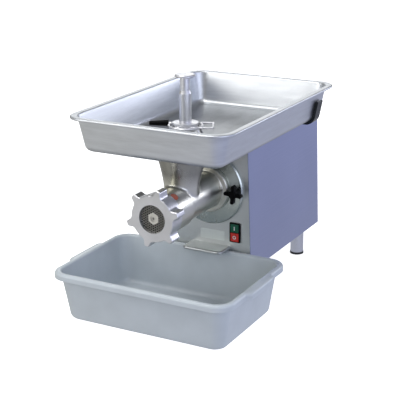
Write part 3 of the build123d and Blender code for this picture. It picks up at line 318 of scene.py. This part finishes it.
def dress_frame():
    """Each CAD node gets the finish of its material slot, and two of them a finish of their own."""
    for entry in frame["record"]["subparts"]:
        if entry["node"] in nodes:
            dress(nodes[entry["node"]], MATERIALS[entry["material_slot"]])
    dress(nodes["tub_lip"], MATERIALS["lip_steel"])
    dress(nodes["knife_stud"], MATERIALS["plate_steel"])


# ---------------------------------------------------------------- mesh helpers

def settle(piece, material_slot, body, *replaced, crease=35.0):
    """Shade and dress a piece, ride it on a body and let it stand for CAD nodes."""
    piece.data.shade_smooth()
    piece.data.set_sharp_from_angle(angle=math.radians(crease))
    dress(piece, MATERIALS[material_slot])
    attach(piece, body)
    if replaced:
        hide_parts(*replaced)


def bake_modifiers(piece):
    """Replace the mesh by what its modifiers make of it."""
    graph = bpy.context.evaluated_depsgraph_get()
    mesh = bpy.data.meshes.new_from_object(piece.evaluated_get(graph))
    piece.modifiers.clear()
    piece.data = mesh


def thicken(piece, thickness):
    solid = piece.modifiers.new("sheet", "SOLIDIFY")
    solid.thickness = thickness
    solid.offset = 0
    solid.use_even_offset = True
    bake_modifiers(piece)


def new_piece(name, verts, faces, material_slot, body, *replaced, crease=35.0, thickness=0.0):
    """A new mesh, given a thickness if one is named, and settled."""
    mesh = bpy.data.meshes.new(name)
    mesh.from_pydata([tuple(v) for v in verts], [], faces)
    mesh.update()
    piece = bpy.data.objects.new(name, mesh)
    scene.collection.objects.link(piece)
    if thickness:
        thicken(piece, thickness)
    settle(piece, material_slot, body, *replaced, crease=crease)


ARC_STEPS = 9


def round_corners(points, radii):
    """Polyline with an arc of the given radius at each inner point; points are 2-D."""
    line = [Vector(points[0])]
    for before, corner, after, radius in zip(points, points[1:], points[2:], radii):
        corner = Vector(corner)
        back = (Vector(before) - corner).normalized()
        ahead = (Vector(after) - corner).normalized()
        half = back.angle(ahead) / 2
        setback = radius / math.tan(half)
        centre = corner + (back + ahead).normalized() * radius / math.sin(half)
        start, end = corner + back * setback - centre, corner + ahead * setback - centre
        sweep = start.angle_signed(end)
        for i in range(ARC_STEPS + 1):
            line.append(centre + Matrix.Rotation(-sweep * i / ARC_STEPS, 2) @ start)
    return line + [Vector(points[-1])]


def subdivide(line, longest):
    """The points of a line without its last, with others between them where they are far apart."""
    points = []
    for here, ahead in zip(line, line[1:]):
        parts = max(1, round((ahead - here).length / longest))
        points += [here.lerp(ahead, i / parts) for i in range(parts)]
    return points


CORNER_STEPS = 12
CORNER_LEAST = 10 * MM


def rounded_loop(half_x, half_y, radius, count_x, count_y):
    """Points round a rounded rectangle, anticlockwise, with the outward direction at each."""
    radius = max(radius, CORNER_LEAST)
    sides = ((half_x, -half_y, 0, count_y), (half_x, half_y, 90, count_x),
             (-half_x, half_y, 180, count_y), (-half_x, -half_y, 270, count_x))
    loop = []
    for x, y, start, count in sides:
        turn = math.radians(start)
        out = Vector((math.cos(turn), math.sin(turn)))
        along = Vector((-math.sin(turn), math.cos(turn)))
        length = 2 * (half_y if start % 180 == 0 else half_x) - 2 * radius
        origin = Vector((x, y)) + along * radius
        loop += [(origin + along * length * i / count, out) for i in range(count)]
        centre = origin + along * length - out * radius
        for i in range(CORNER_STEPS):
            bend = Matrix.Rotation(math.radians(90) * i / CORNER_STEPS, 2)
            loop.append((centre + bend @ out * radius, bend @ out))
    return loop


def skin(rings, closed_end=False):
    """Quads between neighbouring rings of equally many vertices, and a face over the last if it is closed."""
    size = len(rings[0])
    verts = [v for ring in rings for v in ring]
    faces = []
    for r in range(len(rings) - 1):
        for i in range(size):
            j = (i + 1) % size
            faces.append((r * size + i, r * size + j, (r + 1) * size + j, (r + 1) * size + i))
    if closed_end:
        faces.append(tuple((len(rings) - 1) * size + i for i in range(size)))
    return verts, faces


def rumple(point, scale, depth):
    """Soft dent at a place on a sheet."""
    return noise.noise(point * scale) * depth


def smooth_step(value):
    value = min(1.0, max(0.0, value))
    return value * value * (3 - 2 * value)


# ---------------------------------------------------------------- feed pan

PAN_SHEET = 1.5 * MM
PAN_BEAD = 3.5 * MM
BEAD_START, BEAD_SWEEP, BEAD_STEPS = -170, 260, 12      # degrees round the bead, from its rolled-in end
PAN_FLANGE = 14.6 * MM
PAN_LEAN = 19.0 * MM
PAN_CORNER, PAN_CORNER_SHRINK = 56.0 * MM, 0.83
PAN_FLOOR_RADIUS, PAN_LIP_RADIUS = 19.0 * MM, 4.0 * MM
PAN_FLOOR_EDGE = 30 * MM                                # width of the floor's flat margin
PAN_HOLE, PAN_HOLE_RADIUS = 58.5 * MM, 4.0 * MM
PAN_COLLAR = 12 * MM                                    # how far the collar reaches below the floor
PAN_DENT, PAN_DENT_LIFT = 0.5 * MM, 0.35
PAN_WALL_DENTS, PAN_FLOOR_DENTS = 11.0, 9.0             # how close together the dents are, per metre
PAN_COUNTS = (22, 34)                                   # points along the short and the long sides
PAN_SPACING, PAN_FLOOR_RINGS, PAN_NECK_RINGS = 9 * MM, 16, 5


def pan_section(rim_z, floor_z):
    """From the end of the rolled bead, over the flange and down the wall to the floor: (inset, z)."""
    roll = PAN_BEAD - PAN_SHEET / 2
    centre_z = rim_z - PAN_BEAD
    bead = []
    for step in range(BEAD_STEPS + 1):
        turn = math.radians(BEAD_START + BEAD_SWEEP * step / BEAD_STEPS)
        bead.append(Vector((PAN_BEAD - roll * math.cos(turn), centre_z + roll * math.sin(turn))))
    top_z = rim_z - PAN_SHEET / 2
    wall_top = PAN_BEAD + PAN_FLANGE
    wall_foot = wall_top + PAN_LEAN
    corners = [bead[-1], (wall_top, top_z), (wall_foot, floor_z), (wall_foot + PAN_FLOOR_EDGE, floor_z)]
    turned = round_corners(corners, (PAN_LIP_RADIUS, PAN_FLOOR_RADIUS))
    return bead[:-1] + subdivide(turned, PAN_SPACING)


def pan_walls(floor_z):
    """Rings from the bead to the floor's margin, softly dented where the sheet is free."""
    low, high, middle = box("feed_pan")
    half = (high - low) / 2
    rings = []
    for inset, z in pan_section(high.z, floor_z):
        radius = PAN_CORNER - PAN_CORNER_SHRINK * inset
        loose = min(1.0, max(0.0, (inset - PAN_BEAD) / PAN_FLANGE))
        ring = []
        for spot, out in rounded_loop(half.x - inset, half.y - inset, radius, *PAN_COUNTS):
            point = Vector((middle.x + spot.x, middle.y + spot.y, z))
            dent = rumple(point, PAN_WALL_DENTS, PAN_DENT) * loose
            ring.append(point + Vector((out.x, out.y, PAN_DENT_LIFT)) * dent)
        rings.append(ring)
    return rings


def round_feed(feed, turns, reach, z):
    return [Vector((feed.x + reach * math.cos(t), feed.y + reach * math.sin(t), z)) for t in turns]


def pan_floor(edge, feed, floor_z, collar_z):
    """Rings from the floor's margin to the feed hole and down its collar."""
    turns = [math.atan2(v.y - feed.y, v.x - feed.x) for v in edge]
    hole = round_feed(feed, turns, PAN_HOLE + PAN_HOLE_RADIUS, floor_z)
    rings = []
    for step in range(1, PAN_FLOOR_RINGS + 1):
        share = step / PAN_FLOOR_RINGS
        ring = []
        for v, target in zip(edge, hole):
            point = Vector((v.x, v.y, floor_z)).lerp(target, share)
            point.z += rumple(point, PAN_FLOOR_DENTS, PAN_DENT) * min(1.0, 3 * (1 - share))
            ring.append(point)
        rings.append(ring)
    for step in range(1, PAN_NECK_RINGS + 1):
        bend = math.radians(90) * step / PAN_NECK_RINGS
        reach = PAN_HOLE + PAN_HOLE_RADIUS * (1 - math.sin(bend))
        rings.append(round_feed(feed, turns, reach, floor_z - PAN_HOLE_RADIUS * (1 - math.cos(bend))))
    rings.append([Vector((v.x, v.y, collar_z)) for v in rings[-1]])
    return rings


def make_pan():
    collar_z = box("feed_pan")[0].z
    feed = box("pusher_rod")[2]
    floor_z = collar_z + PAN_COLLAR + PAN_SHEET / 2
    rings = pan_walls(floor_z)
    rings += pan_floor(rings[-1], feed, floor_z, collar_z)
    verts, faces = skin(rings)
    new_piece("pan_sheet", verts, faces, "pan_metal", "pan", "feed_pan", crease=50, thickness=PAN_SHEET)


# ---------------------------------------------------------------- catch tub

TUB_WALL = 3.0 * MM
TUB_GRIP_REACH, TUB_GRIP_HALF, TUB_GRIP_RAMP = 12.0 * MM, 75.0 * MM, 12.0 * MM
TUB_RIM_WIDTH, TUB_RIM_DROP, TUB_RIM_RADIUS = 14.5 * MM, 18.0 * MM, 6.5 * MM
TUB_LEAN, TUB_FLOOR_RADIUS = 20.0 * MM, 16.0 * MM
TUB_FLOOR_EDGE = 45 * MM                                # width of the floor's margin
TUB_CORNER, TUB_CORNER_SHRINK = 48.0 * MM, 0.5
TUB_BOW, TUB_BOWS = 0.5 * MM, 6.0                        # depth of the walls' bows and how many per metre
TUB_SPACING = 12 * MM
TUB_COUNTS = (40, 72)                                   # points along the short and the long sides


def tub_section(top):
    """From the rim's turned-down edge, over the rim and down the wall to the floor: (inset, z)."""
    half = TUB_WALL / 2
    foot = TUB_RIM_WIDTH + TUB_LEAN
    corners = [(half, top - TUB_RIM_DROP), (half, top - half), (TUB_RIM_WIDTH, top - half),
               (foot, half), (foot + TUB_FLOOR_EDGE, half)]
    turned = round_corners(corners, (TUB_RIM_RADIUS, TUB_RIM_RADIUS - MM, TUB_FLOOR_RADIUS))
    return subdivide(turned, TUB_SPACING) + [turned[-1]]


def make_tub():
    low, high, middle = box("catch_tub")
    half_x, half_y = (high.x - low.x) / 2 - TUB_GRIP_REACH, (high.y - low.y) / 2
    rings = []
    for inset, z in tub_section(high.z):
        radius = TUB_CORNER - TUB_CORNER_SHRINK * inset
        on_rim = smooth_step((TUB_RIM_WIDTH - inset) / TUB_RIM_WIDTH)
        ring = []
        for spot, out in rounded_loop(half_x - inset, half_y - inset, radius, *TUB_COUNTS):
            across = abs(out.x) > 0.999
            grip = smooth_step((TUB_GRIP_HALF - abs(spot.y)) / TUB_GRIP_RAMP) if across else 0.0
            shift = TUB_GRIP_REACH * grip * on_rim
            point = Vector((middle.x + spot.x + out.x * shift, middle.y + spot.y, z))
            bow = rumple(point, TUB_BOWS, TUB_BOW) * (1 - on_rim)
            ring.append(point + Vector((out.x, out.y, 0)) * bow)
        rings.append(ring)
    verts, faces = skin(rings)
    size, centre = len(rings[-1]), len(verts)
    verts.append(Vector((middle.x, middle.y, rings[-1][0].z)))
    start = centre - size
    faces += [(start + i, start + (i + 1) % size, centre) for i in range(size)]
    new_piece("tub_moulding", verts, faces, "tub_plastic", "tub", "catch_tub", crease=50, thickness=TUB_WALL)


# ---------------------------------------------------------------- grinding head

HEAD_VOXEL = 1.5 * MM
BLEND_REACH = 16.0 * MM
BLEND_STEPS, FINISH_STEPS = 90, 2
OUTSIDE_SLACK = 3 * MM          # how far inside the outer surface a point still counts as on it
DRUM_R, BARREL_R, DRUM_BACK = 57.0 * MM, 51.0 * MM, -238.0 * MM  # outside radii, and y where the drum ends
# height, outside radius and y of the middle of the throat
THROAT_SECTIONS = ((350.0 * MM, 46.0 * MM, -207.0 * MM), (418.0 * MM, 60.0 * MM, -202.0 * MM),
                   (459.0 * MM, 79.0 * MM, -190.0 * MM))


def throat_at(z):
    """Radius and centre of the throat at a height."""
    below, above = THROAT_SECTIONS[:2] if z < THROAT_SECTIONS[1][0] else THROAT_SECTIONS[1:]
    share = (z - below[0]) / (above[0] - below[0])
    return below[1] + share * (above[1] - below[1]), below[2] + share * (above[2] - below[2])


def junction_weight(point, axis):
    """How near a point of the casting's outside is to where the throat meets the barrel."""
    if point.z < axis.z:
        return 0.0
    throat_r, throat_y = throat_at(point.z)
    barrel_r = DRUM_R if point.y < DRUM_BACK else BARREL_R
    from_throat = math.hypot(point.x - axis.x, point.y - throat_y) - throat_r
    from_barrel = math.hypot(point.x - axis.x, point.z - axis.z) - barrel_r
    if min(from_throat, from_barrel) < -OUTSIDE_SLACK:
        return 0.0
    return smooth_step(1 - max(abs(from_throat), abs(from_barrel)) / BLEND_REACH)


def smooth(piece, name, steps, group=""):
    soften = piece.modifiers.new(name, "SMOOTH")
    soften.factor = 0.5
    soften.iterations = steps
    soften.vertex_group = group


def make_head():
    """The head casting with its inside corners drawn into soft blends, as a casting has them."""
    axis = box("auger_screw")[2]
    head = bpy.data.objects.new("head_body", nodes["head_casting"].data.copy())
    scene.collection.objects.link(head)
    remesh = head.modifiers.new("even", "REMESH")
    remesh.mode = "VOXEL"
    remesh.voxel_size = HEAD_VOXEL
    bake_modifiers(head)
    group = head.vertex_groups.new(name="junction")
    for vertex in head.data.vertices:
        weight = junction_weight(vertex.co, axis)
        if weight > 0:
            group.add([vertex.index], weight, "REPLACE")
    smooth(head, "blend", BLEND_STEPS, group="junction")
    smooth(head, "finish", FINISH_STEPS)
    bake_modifiers(head)
    settle(head, "head_metal", "machine", "head_casting", crease=55)


# ---------------------------------------------------------------- switch marks

MARK_PROUD = 0.25 * MM
BAR_HALF_X, BAR_HALF_Z = 1.4 * MM, 5.4 * MM
RING_OUTER, RING_INNER, RING_STEPS = 5.0 * MM, 3.1 * MM, 36


def make_mark(node, body, outlines, closed_end):
    """Thin white skin between outlines, (x, z) from the middle of a button's front."""
    low, _, middle = box(node)
    front = Vector((middle.x, low.y - MARK_PROUD, middle.z))
    rings = [[front + Vector((x, 0, z)) for x, z in outline] for outline in outlines]
    verts, faces = skin(rings, closed_end)
    new_piece(f"{node}_mark", verts, faces, "mark_white", body)


def make_marks():
    """White bar on the start button and white ring on the stop button."""
    corners = ((-1, -1), (1, -1), (1, 1), (-1, 1))
    bar = [(x * BAR_HALF_X, z * BAR_HALF_Z) for x, z in corners]
    make_mark("start_button", "start", [bar, [(x * 0.25, z * 0.6) for x, z in bar]], True)
    turns = [2 * math.pi * i / RING_STEPS for i in range(RING_STEPS)]
    ring = [[(r * math.cos(t), r * math.sin(t)) for t in turns] for r in (RING_OUTER, RING_INNER)]
    make_mark("stop_button", "stop", ring, False)


# ---------------------------------------------------------------- studio

def softbox(name, place, target, size, power, color=(1, 1, 1)):
    """Rectangular light that the camera doesn't see."""
    data = bpy.data.lights.new(name, "AREA")
    data.shape = "RECTANGLE"
    data.size, data.size_y = size
    data.energy = power
    data.color = color
    light = bpy.data.objects.new(name, data)
    light.location = place
    light.rotation_euler = (Vector(target) - Vector(place)).to_track_quat("-Z", "Y").to_euler()
    light.visible_camera = False
    scene.collection.objects.link(light)


def add_world():
    """White backdrop for the camera; the metal reflects a grey room, bluer to the right."""
    world = bpy.data.worlds.new("studio")
    scene.world = world
    world.use_nodes = True
    room = Nodes(world.node_tree)
    direction = room.node("ShaderNodeTexCoord").outputs["Generated"]
    side = room.remap(room.axis(direction, "X"), 0.25, 0.85)
    rise = room.remap(room.axis(direction, "Z"), 0.35, 0.8)
    walls = room.mix(side, (0.30, 0.30, 0.29), (0.55, 0.58, 0.82))
    reflected = room.mix(rise, walls, (0.40, 0.41, 0.44))
    path = room.node("ShaderNodeLightPath")
    seen = room.mix(path.outputs["Is Camera Ray"], reflected, (1.1, 1.1, 1.1))
    room.link(seen, room.tree.nodes["Background"].inputs["Color"])


def add_floor():
    """Pale paper, lit so that it reads white; the metal sees it as a soft grey, bluer to the right."""
    bpy.ops.mesh.primitive_plane_add(size=12)
    floor = bpy.context.object
    floor.name = "floor"
    paint = Paint("floor_paper", (0.9, 0.9, 0.9), rough=0.9)
    paint.base(paint.mix(paint.remap(paint.noise(3.0)), (0.90, 0.90, 0.90), (0.93, 0.93, 0.93)))
    paint.shader.inputs["Emission Color"].default_value = (1, 1, 1, 1)
    paint.shader.inputs["Emission Strength"].default_value = 0.85
    dimmed = paint.node("ShaderNodeEmission")
    across = paint.remap(paint.axis(paint.place(), "X"), -0.6, 1.2)
    paint.link(paint.mix(across, (0.58, 0.58, 0.57), (0.40, 0.43, 0.60)), dimmed.inputs["Color"])
    path = paint.node("ShaderNodeLightPath")
    mixed = paint.node("ShaderNodeMixShader")
    paint.link(path.outputs["Is Camera Ray"], mixed.inputs[0])
    paint.link(dimmed.outputs[0], mixed.inputs[1])
    paint.link(paint.shader.outputs[0], mixed.inputs[2])
    paint.link(mixed.outputs[0], paint.tree.nodes["Material Output"].inputs["Surface"])
    dress(floor, paint.mat)


def add_studio():
    add_world()
    add_floor()
    softbox("key", (-2.2, -3.0, 1.3), (0, 0, 0.45), (2.6, 1.4), 33)
    softbox("top", (-0.6, -1.0, 3.0), (0, -0.1, 0.3), (2.4, 1.6), 44)
    softbox("fill", (2.9, -1.4, 1.1), (0, 0, 0.3), (2.6, 1.8), 22, color=(0.80, 0.87, 1.0))
    softbox("rear", (2.2, 3.2, 1.1), (0, 0, 0.5), (1.6, 0.8), 19, color=(0.85, 0.88, 1.0))
    softbox("rim", (-1.9, 3.4, 1.8), (0, 0, 0.5), (2.4, 0.9), 13, color=(0.95, 0.97, 1.0))


# ---------------------------------------------------------------- build

dress_frame()
add_camera()
add_studio()
make_pan()
make_tub()
make_head()
make_marks()
scene.view_settings.view_transform = "Standard"
